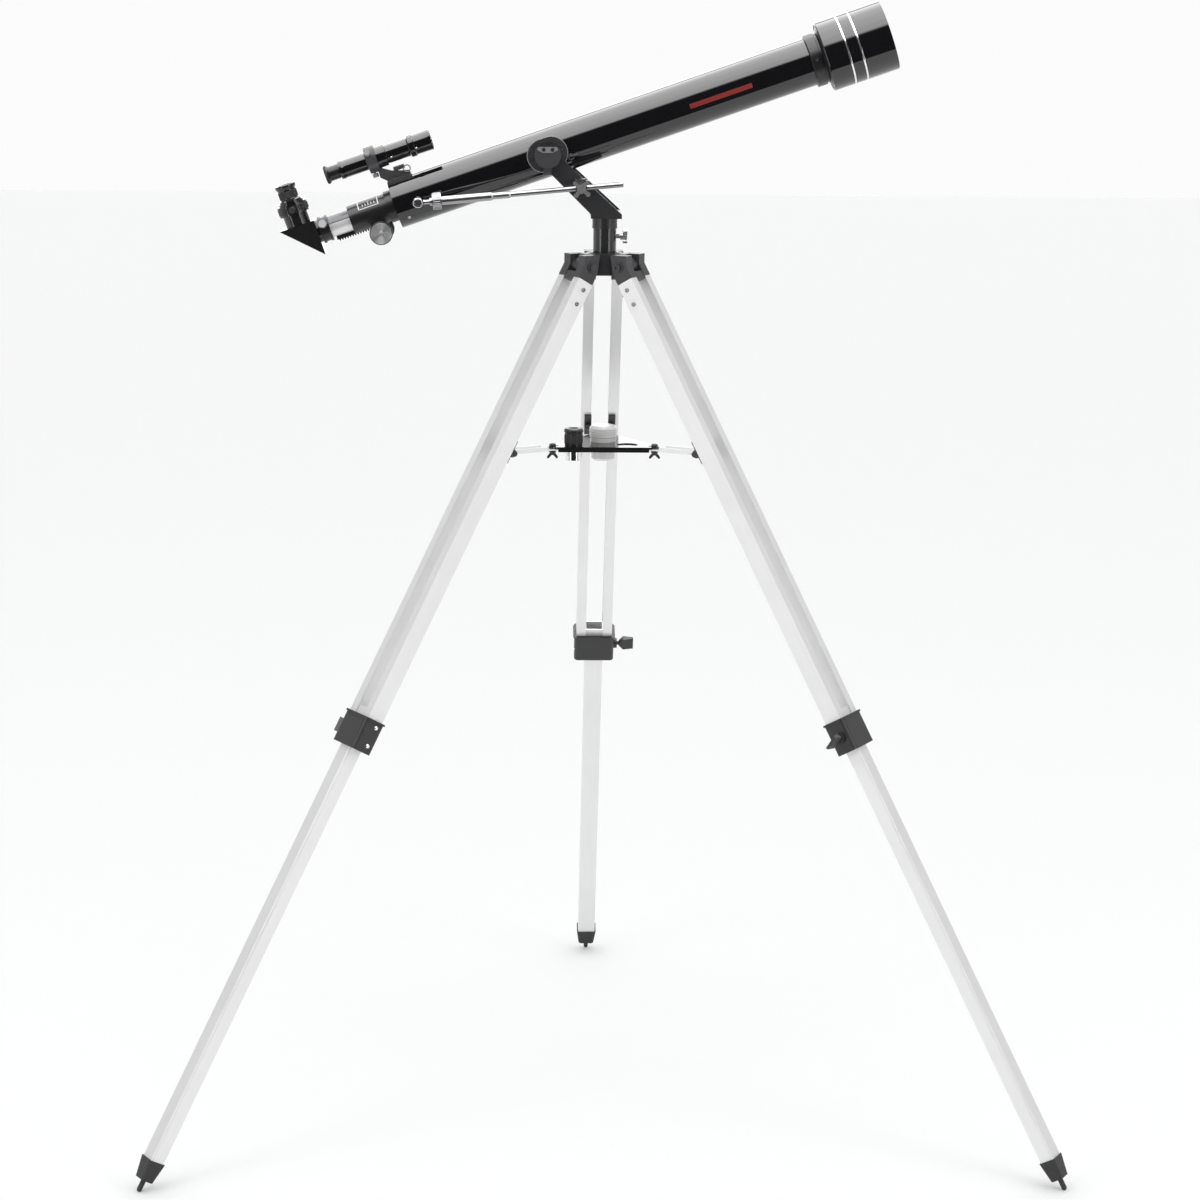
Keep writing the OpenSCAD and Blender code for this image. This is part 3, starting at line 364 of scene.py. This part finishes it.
def curved_plate(radius, thickness, x0, x1, angle0, angle1, steps=24):
    """Plate wrapped on a cylinder about local x; angles in degrees from local +z towards -y."""
    mesh = bmesh.new()
    grid = []
    for r in (radius, radius + thickness):
        for x in (x0, x1):
            row = []
            for step in range(steps + 1):
                angle = math.radians(angle0 + (angle1 - angle0) * step / steps)
                row.append(mesh.verts.new((x * MM, -r * math.sin(angle) * MM, r * math.cos(angle) * MM)))
            grid.append(row)
    inner_low, inner_high, outer_low, outer_high = grid
    for step in range(steps):
        for a, b in ((inner_low, inner_high), (outer_low, outer_high), (inner_low, outer_low),
                     (inner_high, outer_high)):
            mesh.faces.new((a[step], a[step + 1], b[step + 1], b[step]))
    for end in (0, steps):
        mesh.faces.new((inner_low[end], inner_high[end], outer_high[end], outer_low[end]))
    return mesh


def torus(major, minor, segments=40, sides=14):
    profile = [
        (minor * math.sin(2 * math.pi * k / sides), major + minor * math.cos(2 * math.pi * k / sides))
        for k in range(sides)
    ]
    return turned(profile, segments, closed=True)


def wire_loop(path, radius, sides=10):
    """Round wire along a closed path of (y, z) points in the plane across local x."""
    mesh = bmesh.new()
    rings = []
    for index, (y, z) in enumerate(path):
        before, after = path[index - 1], path[(index + 1) % len(path)]
        along = Vector((0, after[0] - before[0], after[1] - before[1])).normalized()
        outward = along.cross(Vector((1, 0, 0)))
        ring = []
        for side in range(sides):
            angle = 2 * math.pi * side / sides
            offset = (outward * math.cos(angle) + Vector((1, 0, 0)) * math.sin(angle)) * radius
            ring.append(mesh.verts.new((offset.x * MM, (y + offset.y) * MM, (z + offset.z) * MM)))
        rings.append(ring)
    for index, ring in enumerate(rings):
        join_rings(mesh, ring, rings[(index + 1) % len(rings)])
    return mesh


def merged(*meshes):
    """Several bmeshes as one."""
    total = bmesh.new()
    for mesh in meshes:
        data = bpy.data.meshes.new("part")
        mesh.to_mesh(data)
        total.from_mesh(data)
        bpy.data.meshes.remove(data)
        mesh.free()
    return total


def moved(mesh, matrix):
    mesh.transform(matrix)
    return mesh


def piece(name, mesh, matrix, material, body):
    """Finishes a bmesh as a named piece that rides on a CAD body."""
    bmesh.ops.recalc_face_normals(mesh, faces=mesh.faces[:])
    data = bpy.data.meshes.new(name)
    mesh.to_mesh(data)
    mesh.free()
    obj = bpy.data.objects.new(name, data)
    bpy.context.scene.collection.objects.link(obj)
    data.materials.append(material)
    for polygon in data.polygons:
        polygon.use_smooth = True
    data.set_sharp_from_angle(angle=math.radians(SHARP_DEGREES))
    obj.matrix_world = matrix
    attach(obj, body)
    return obj


def cross_screw(radius, height):
    """Pan head with a cross recess, standing along local +x from x = 0."""
    base = turned([(0, 0), (0, radius), (height * 0.45, radius), (height * 0.45, 0)], 32)
    slot_half = radius * 0.13
    reach = radius * 0.94
    quadrants = []
    for turn in range(4):
        outline = [(slot_half, slot_half)]
        for step in range(9):
            angle = math.radians(9 + 72 * step / 8)
            outline.append((reach * math.cos(angle), reach * math.sin(angle)))
        block = extruded(outline, height * 0.4, height, bevel=radius * 0.08)
        quadrants.append(moved(block, spin(90 * turn)))
    return merged(base, *quadrants)


def rivet(radius, height):
    """Domed rivet along local +x."""
    turns = [math.radians(degrees) for degrees in range(0, 90, 15)]
    dome = [(height * math.sin(turn), radius * math.cos(turn)) for turn in turns]
    return turned([(-0.3, 0), (-0.3, radius), *dome, (height, 0)], 28)


# ---------- optical tube ----------

TUBE_FRONT = 318.0
TUBE_R = 27.7
CELL_R = 30.5
FOCUSER_SCREWS_S = -173.0
DEW_S0 = TUBE_FRONT + 17.0


def out_of_tube(x, angle, radius):
    """Frame at a place on the tube's side whose local x points outward.

    The angle is measured from straight up towards the near side, -Y."""
    return place(TUBE, x) @ spin(angle) @ Matrix.Translation((0, 0, radius * MM)) @ spin(-90, "Y")


for index, (x0, x1) in enumerate(((24.5, 26.5), (39.0, 41.0)), 1):
    rear, front = DEW_S0 + x0, DEW_S0 + x1
    band = [(rear + 0.05, 40.05), (rear + 0.05, 40.4), (rear + 0.3, 40.48), (front - 0.3, 40.48),
            (front - 0.05, 40.4), (front - 0.05, 40.05)]
    piece(f"dew_shield_ring_{index}", turned(band, 96, closed=True), TUBE, RING_SILVER, "dew_shield")

piece("red_bar", curved_plate(TUBE_R - 0.02, 0.12, 171, 246, 88, 99.5), TUBE, RED_PAINT, "optical_tube")

for index in range(3):
    angle = 127.6 + 120 * index
    at = out_of_tube(FOCUSER_SCREWS_S, angle, TUBE_R)
    piece(f"focuser_screw_{index + 1}", cross_screw(1.9, 0.9), at, STEEL, "optical_tube")
    at = out_of_tube(TUBE_FRONT + 6.5, angle - 40, CELL_R)
    piece(f"cell_screw_{index + 1}", cross_screw(1.7, 0.8), at, STEEL, "optical_tube")


# ---------- label plate: a plain framed scale ----------

PLATE_S0, PLATE_S1 = -227.0, -201.0
PLATE_A0, PLATE_A1 = 8.0, 62.0
BODY_R = 16.5


def on_plate(name, x0, x1, a0, a1, material, lift):
    piece(name, curved_plate(BODY_R + lift, 0.18, x0, x1, a0, a1), TUBE, material, "optical_tube")


def printed(name, x0, x1, a0, a1):
    """A white line raised on the plate."""
    on_plate(name, x0, x1, a0, a1, WHITE_PRINT, 0.2)


on_plate("scale_plate", PLATE_S0, PLATE_S1, PLATE_A0, PLATE_A1, SATIN_BLACK, 0.02)
printed("scale_frame_rear", PLATE_S0 + 0.6, PLATE_S0 + 2.0, PLATE_A0 + 2, PLATE_A1 - 2)
printed("scale_frame_front", PLATE_S1 - 2.0, PLATE_S1 - 0.6, PLATE_A0 + 2, PLATE_A1 - 2)
printed("scale_frame_low", PLATE_S0 + 2.0, PLATE_S1 - 2.0, PLATE_A1 - 5, PLATE_A1 - 2)
for index in range(5):
    tick = PLATE_S0 + 6.0 + 3.5 * index
    long_tick = index == 2
    printed(f"scale_tick_{index + 1}", tick, tick + 0.9, 30 if long_tick else 38, 49)


# ---------- focus knobs ----------

KNOB = Matrix.Translation(JOINTS["focus_spin"]["pos_m"])
KNOB_TEETH = 72


def knob_side(side):
    """Frame at the focus shaft whose local x points out of the near (-1) or far (+1) side."""
    return KNOB @ spin(90 * side, "Z")


for side, word in ((-1, "near"), (1, "far")):
    grip = turned([(22.6, 12.9), (22.6, 13.1), (23.2, 13.45), (31.6, 13.45), (32.4, 13.15), (32.4, 12.9)],
                  KNOB_TEETH * 2, closed=True, wobble=lambda step: 1.0 if step % 2 else 0.982)
    piece(f"focus_knob_grip_{word}", grip, knob_side(side), RUBBER, "focus_shaft")
    dish = [(32.5, 0), (32.5, 2.0), (32.3, 2.6), (32.3, 4), (33.2, 11.6), (33.2, 12.3), (33.02, 12.3),
            (33.02, 11.3), (32.1, 11.3), (32.1, 0)]
    piece(f"focus_knob_dish_{word}", turned(dish, 96), knob_side(side), KNOB_FACE, "focus_shaft")


# ---------- diagonal, eyepieces and finder glass ----------

EYE_S = -297.5
FINDER_V = 57.5
EYE_UP = place(TUBE, EYE_S) @ spin(-90, "Y")  # local x up the eyepiece's axis
FINDER = place(TUBE, 0, 0, FINDER_V)


def lens(x, radius, bulge, thickness):
    """Double-convex lens about local x, centred at x."""
    front = [(x + thickness / 2 + bulge * (1 - (k / 6) ** 2), radius * k / 6) for k in range(7)]
    rear = [(x - thickness / 2 - bulge * (1 - (k / 6) ** 2), radius * k / 6) for k in range(6, -1, -1)]
    return turned(front + rear, 48)


piece("eyepiece_lens", lens(55.6, 4.9, 0.9, 1.6), EYE_UP, GLASS, "eyepiece")
piece("finder_objective", lens(-133, 10.1, 1.2, 2.0), FINDER, GLASS, "optical_tube")
piece("finder_eye_lens", lens(-238, 5.5, 0.8, 1.4), FINDER, GLASS, "finder_eyepiece")


def grip_ring(x0, x1, radius, teeth, depth):
    """Ribbed grip about local x."""
    return turned([(x0, radius - 0.5), (x0, radius), (x0 + 0.4, radius + depth), (x1 - 0.4, radius + depth),
                   (x1, radius), (x1, radius - 0.5)], teeth * 2, closed=True,
                  wobble=lambda step: 1.0 if step % 2 else 1 - depth / radius)


piece("eyepiece_grip", grip_ring(47, 55.5, 10.5, 36, 0.5), EYE_UP, RUBBER, "eyepiece")
piece("holder_ring_grip", grip_ring(30, 38, 17.4, 48, 0.5), EYE_UP, SATIN_BLACK, "diagonal")
piece("finder_focus_grip", grip_ring(-249, -246.5, 10.3, 40, 0.35), FINDER, RUBBER,
      "finder_eyepiece")
for index, (x, angle, radius) in enumerate(((-140, 108, 11.7), (-170.5, 112, 10.8)), 1):
    at = place(FINDER, x) @ spin(angle) @ Matrix.Translation((0, 0, radius * MM)) @ spin(-90, "Y")
    piece(f"finder_pin_{index}", rivet(1.2, 0.7), at, CHROME, "optical_tube")

SPARE_LOW, SPARE_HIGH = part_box("spare_eyepiece")
SPARE_UP = upright((SPARE_LOW.x + SPARE_HIGH.x) / 2, (SPARE_LOW.y + SPARE_HIGH.y) / 2, SPARE_HIGH.z)
piece("spare_eyepiece_lens", lens(-4.6, 4.9, 0.9, 1.6), SPARE_UP, GLASS, "spare_eyepiece")
piece("spare_eyepiece_grip", grip_ring(-18, -7, 10.3, 36, 0.5), SPARE_UP, RUBBER, "spare_eyepiece")
barrel = turned([(-36.8, 9.32), (-36.8, 9.5), (-20.3, 9.5), (-20.3, 9.32)], 64, closed=True)
piece("spare_eyepiece_barrel", barrel, SPARE_UP, CHROME, "spare_eyepiece")

CASE_LOW, CASE_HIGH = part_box("eyepiece_case")
for index, drop in enumerate((4.6, 7.2, 9.8), 1):
    at = upright((CASE_LOW.x + CASE_HIGH.x) / 2, (CASE_LOW.y + CASE_HIGH.y) / 2, CASE_HIGH.z - drop * MM)
    piece(f"eyepiece_case_thread_{index}", torus(15.7, 0.5, 64, 10), at, MILKY_EDGE, "eyepiece_case")


# ---------- head cover screws ----------

COVER_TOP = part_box("head_plate")[1].z
COVER_SCREWS_R = 17.2 * MM
for number in LEGS:
    way = away_from_centre(f"leg_{number}_fold")
    at = upright(way.x * COVER_SCREWS_R, way.y * COVER_SCREWS_R, COVER_TOP)
    piece(f"cover_screw_{number}", cross_screw(2.1, 1.3), at, SCREW_STEEL, "tripod_head")


# ---------- yoke hub ----------

CAP_FACE = 51.5
CAP_R = 13.8
SADDLE_R = 18.5
SADDLE_HALF = 4.5
SADDLE_FACE = 31.2
RIM_FACE = 31.9
RIM_POINTS = 48


def arc(radius, start, end, steps=8):
    """Points of (y, z) on a circle, angles in degrees."""
    turns = [math.radians(start + (end - start) * step / steps) for step in range(steps + 1)]
    return [(radius * math.cos(turn), radius * math.sin(turn)) for turn in turns]


for side, word in ((-1, "near"), (1, "far")):
    hub = Matrix.Translation(JOINTS["altitude"]["pos_m"]) @ spin(90 * side, "Z")
    outline = arc(CAP_R, 27, 44) + arc(CAP_R, 136, 153) + [(-5.5, 2.8), (5.5, 2.8)]
    piece(f"cap_plate_{word}", extruded(outline, 0, 0.9, bevel=0.25), place(hub, CAP_FACE), RIM_GREY,
          "yoke")
    for index, offset in enumerate((-4.5, 5.5), 1):
        piece(f"cap_screw_{word}_{index}", cross_screw(2.1, 1.1), place(hub, CAP_FACE + 0.85, offset, 6.4),
              BLACK_METAL, "yoke")
    for index, offset in enumerate((-18.5, 18.5), 1):
        at = place(TUBE, offset, side * SADDLE_FACE) @ spin(90 * side, "Z")
        piece(f"saddle_screw_{word}_{index}", cross_screw(2.4, 1.2), at, STEEL, "optical_tube")

rim = []
for step in range(RIM_POINTS):
    angle = 2 * math.pi * (step + 0.5) / RIM_POINTS
    shift = SADDLE_HALF if math.cos(angle) > 0 else -SADDLE_HALF
    rim.append((shift + SADDLE_R * math.cos(angle), SADDLE_R * math.sin(angle)))
for side, word in ((-1, "near"), (1, "far")):
    at = place(TUBE, 0, side * RIM_FACE) @ spin(90 * side, "Z")
    piece(f"saddle_rim_{word}", wire_loop(rim, 0.9), at, RIM_GREY, "optical_tube")

eyelet_at = place(TUBE, 24.5, -32.2, -11.5) @ spin(90, "Z")
ring_at = place(TUBE, -158, -7.4, 35.6) @ spin(90, "Z")
piece("bracket_ring", torus(3.8, 0.7), ring_at, RIM_GREY, "optical_tube")
eye_at = Matrix.Translation(JOINTS["rod_tilt"]["pos_m"]) @ spin(-90, "Z")
piece("rod_eye_ring", torus(4.7, 1.0), place(eye_at, 3.4), CHROME, "slow_motion_rod")
piece("saddle_eyelet", torus(3.0, 0.8), eyelet_at, BLACK_METAL, "optical_tube")


# ---------- legs ----------

COLLAR_U = 595.0
RAIL_HALF = 22.7
COLLAR_HALF = 25.2
STRIP_U = 222.0
STRIP_HALF = 16.6
STRIP_DEPTH = -11.7

for number in LEGS:
    body = f"leg_{number}"
    for side, word in ((-1, "right"), (1, "left")):
        for index, u in enumerate((28, 46), 1):
            at = place(LEG[number], u, side * RAIL_HALF, -2) @ spin(90 * side, "Z")
            piece(f"rail_screw_{number}_{word}_{index}", cross_screw(2.6, 1.4), at, SCREW_STEEL, body)
    for index, u in enumerate((-12, 10.5), 1):
        at = place(LEG[number], COLLAR_U + u, COLLAR_HALF, -4) @ spin(90, "Z")
        piece(f"collar_rivet_{number}_{index}", rivet(2.5, 1.1), at, CHROME, body)
    for side, word in ((-1, "right"), (1, "left")):
        at = place(LEG[number], STRIP_U, side * STRIP_HALF, STRIP_DEPTH) @ spin(90, "Y")
        piece(f"strip_screw_{number}_{word}", cross_screw(2.4, 1.2), at, CHROME, body)


# ---------- wing screws under the tray and their nuts on top ----------

TRAY_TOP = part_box("accessory_tray")[1].z
ARM_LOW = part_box("brace_arm_1")[0].z
WING_SCREWS_R = 68.4 * MM
NUT_LIFT = 0.1 * MM

for number in LEGS:
    way = away_from_centre(f"brace_arm_{number}_swing")
    at = Matrix.Translation((way.x * WING_SCREWS_R, way.y * WING_SCREWS_R, ARM_LOW))
    shank = turned([(3.6, 0), (3.6, 2.2), (3.2, 2.4), (-0.05, 2.4), (-0.05, 4.2), (-1.4, 4.2), (-1.8, 3.0),
                    (-4.4, 2.6), (-5.0, 0)], 32)
    parts = [moved(shank, spin(-90, "Y"))]
    for side in (-1, 1):
        outline = [(side * 0.2, -1.4), (side * 2.4, -1.0), (side * 6.4, -6.6), (side * 6.2, -8.6),
                   (side * 4.6, -8.8), (side * 2.2, -5.8), (side * 0.2, -4.4)]
        parts.append(moved(extruded(outline, -0.8, 0.8, bevel=0.25), spin(90, "Z")))
    piece(f"wing_screw_{number}", merged(*parts), at, BLACK_METAL, f"brace_arm_{number}")
    top = upright(way.x * WING_SCREWS_R, way.y * WING_SCREWS_R, TRAY_TOP + NUT_LIFT)
    nut = turned([(0, 0), (0, 3.9), (2.2, 3.9), (2.8, 3.4), (3.4, 2.2), (3.6, 0)], 32)
    piece(f"tray_nut_{number}", nut, top, BLACK_METAL, "tripod_head")


# ---------- floor, light and camera ----------

FLOOR_HALF = 14.0
FLOOR_EDGE = -1.3  # in front of this line the floor is left out of reflections
CEILING_LEVEL = 4.5
BACK_LEVEL = 0.6
GLOW_LEVEL = 1.9
SIDE_LEVEL = 0.55
STRIP_LEVEL = 6.5
WALL_LEVEL = 0.02
FILL_LEVEL = 0.9
SEEN_LEVEL = 0.97


def floor_plane(name, y0, y1, material):
    """Part of the pale floor, from y0 to y1."""
    mesh = bmesh.new()
    outline = ((-FLOOR_HALF, y0, 0), (FLOOR_HALF, y0, 0), (FLOOR_HALF, y1, 0), (-FLOOR_HALF, y1, 0))
    mesh.faces.new([mesh.verts.new(corner) for corner in outline])
    data = bpy.data.meshes.new(name)
    mesh.to_mesh(data)
    mesh.free()
    floor = bpy.data.objects.new(name, data)
    bpy.context.scene.collection.objects.link(floor)
    data.materials.append(material)
    return floor


def make_floor():
    """Pale floor; its front part isn't mirrored, as if the studio were dark in front."""
    material = bpy.data.materials.new("pale_floor")
    material.use_nodes = True
    shader = material.node_tree.nodes["Principled BSDF"]
    shader.inputs["Base Color"].default_value = (0.985, 0.99, 0.99, 1)
    shader.inputs["Roughness"].default_value = 0.9
    input_of(shader, "Specular IOR Level", "Specular").default_value = 0.1
    floor_plane("floor", FLOOR_EDGE, FLOOR_HALF, material)
    floor_plane("floor_front", -FLOOR_HALF, FLOOR_EDGE, material).visible_glossy = False


def softbox(name, azimuth, elevation, distance, width, height, power):
    """Area light aimed at the telescope; azimuth 0 is the camera's side, positive to the right."""
    light = bpy.data.lights.new(name, "AREA")
    light.shape = "RECTANGLE"
    light.size = width
    light.size_y = height
    light.energy = power
    target = Vector((0, 0, 0.8))
    az, el = math.radians(azimuth), math.radians(elevation)
    way = Vector((math.sin(az) * math.cos(el), -math.cos(az) * math.cos(el), math.sin(el)))
    lamp = bpy.data.objects.new(name, light)
    lamp.location = target + way * distance
    lamp.rotation_euler = (-way).to_track_quat("-Z", "Y").to_euler()
    bpy.context.scene.collection.objects.link(lamp)
    return lamp


def smooth_step(tree, value, start, end):
    node = tree.nodes.new("ShaderNodeMapRange")
    node.interpolation_type = "SMOOTHSTEP"
    node.inputs["From Min"].default_value = start
    node.inputs["From Max"].default_value = end
    tree.links.new(value, node.inputs["Value"])
    return node.outputs["Result"]


def math_node(tree, operation, first, second=None):
    node = tree.nodes.new("ShaderNodeMath")
    node.operation = operation
    for socket, value in zip(node.inputs, (first, second)):
        if value is None:
            continue
        if isinstance(value, (int, float)):
            socket.default_value = value
        else:
            tree.links.new(value, socket)
    return node.outputs[0]


def product(tree, *factors):
    total = factors[0]
    for factor in factors[1:]:
        total = math_node(tree, "MULTIPLY", total, factor)
    return total


def total_of(tree, *parts):
    total = parts[0]
    for part in parts[1:]:
        total = math_node(tree, "ADD", total, part)
    return total


def make_world():
    """White to the camera; to reflections a dark room with a bright ceiling, sides and strips."""
    world = bpy.data.worlds.new("studio")
    bpy.context.scene.world = world
    world.use_nodes = True
    tree = world.node_tree
    background = tree.nodes["Background"]
    direction = tree.nodes.new("ShaderNodeTexCoord").outputs["Generated"]
    split = tree.nodes.new("ShaderNodeSeparateXYZ")
    tree.links.new(direction, split.inputs[0])
    x, y, z = split.outputs
    aside = math_node(tree, "ABSOLUTE", x)
    ceiling = product(tree, smooth_step(tree, z, 0.52, 0.66), smooth_step(tree, aside, 0.8, 0.6),
                      CEILING_LEVEL)
    low = smooth_step(tree, z, 0.6, 0.4)
    back = smooth_step(tree, y, 0.15, 0.5)
    centre = smooth_step(tree, aside, 0.6, 0.4)
    behind = total_of(tree, product(tree, back, low, BACK_LEVEL),
                      product(tree, back, low, centre, GLOW_LEVEL))
    sides = product(tree, smooth_step(tree, aside, 0.55, 0.7), smooth_step(tree, y, 0.3, 0.1), low,
                    SIDE_LEVEL)
    strip = product(tree, smooth_step(tree, aside, 0.62, 0.64), smooth_step(tree, aside, 0.68, 0.66),
                    smooth_step(tree, y, 0, -0.1), low, STRIP_LEVEL)
    studio = total_of(tree, ceiling, behind, sides, strip, WALL_LEVEL)
    path = tree.nodes.new("ShaderNodeLightPath")
    mirror = path.outputs["Is Glossy Ray"]
    dull = product(tree, math_node(tree, "SUBTRACT", 1.0, mirror), FILL_LEVEL)
    level = total_of(tree, product(tree, mirror, studio), dull)
    camera = path.outputs["Is Camera Ray"]
    rest = product(tree, math_node(tree, "SUBTRACT", 1.0, camera), level)
    seen = product(tree, camera, SEEN_LEVEL)
    tree.links.new(total_of(tree, seen, rest), background.inputs["Strength"])
    background.inputs["Color"].default_value = (1, 1, 1, 1)


make_floor()
make_world()
softbox("left_box", -50, 16, 3.4, 1.0, 2.4, 10)
softbox("right_box", 50, 16, 3.4, 1.0, 2.4, 10)
softbox("top_box", 0, 80, 3.0, 3.0, 2.0, 8)


def make_camera():
    """The photograph's viewpoint: long lens, a little above the tube, looking slightly down."""
    data = bpy.data.cameras.new("photo_camera")
    data.sensor_width = 36
    data.lens = 98.16
    data.shift_x = -0.0011
    data.clip_end = 60
    camera = bpy.data.objects.new("photo_camera", data)
    bpy.context.scene.collection.objects.link(camera)
    heading = spin(-1.654, "Z")
    tilt = spin(90 - 11.546)
    roll = spin(0.526, "Z")
    camera.matrix_world = Matrix.Translation((-0.1094, -3.789, 1.3939)) @ heading @ tilt @ roll
    bpy.context.scene.camera = camera


make_camera()
bpy.context.scene.view_settings.view_transform = "Standard"
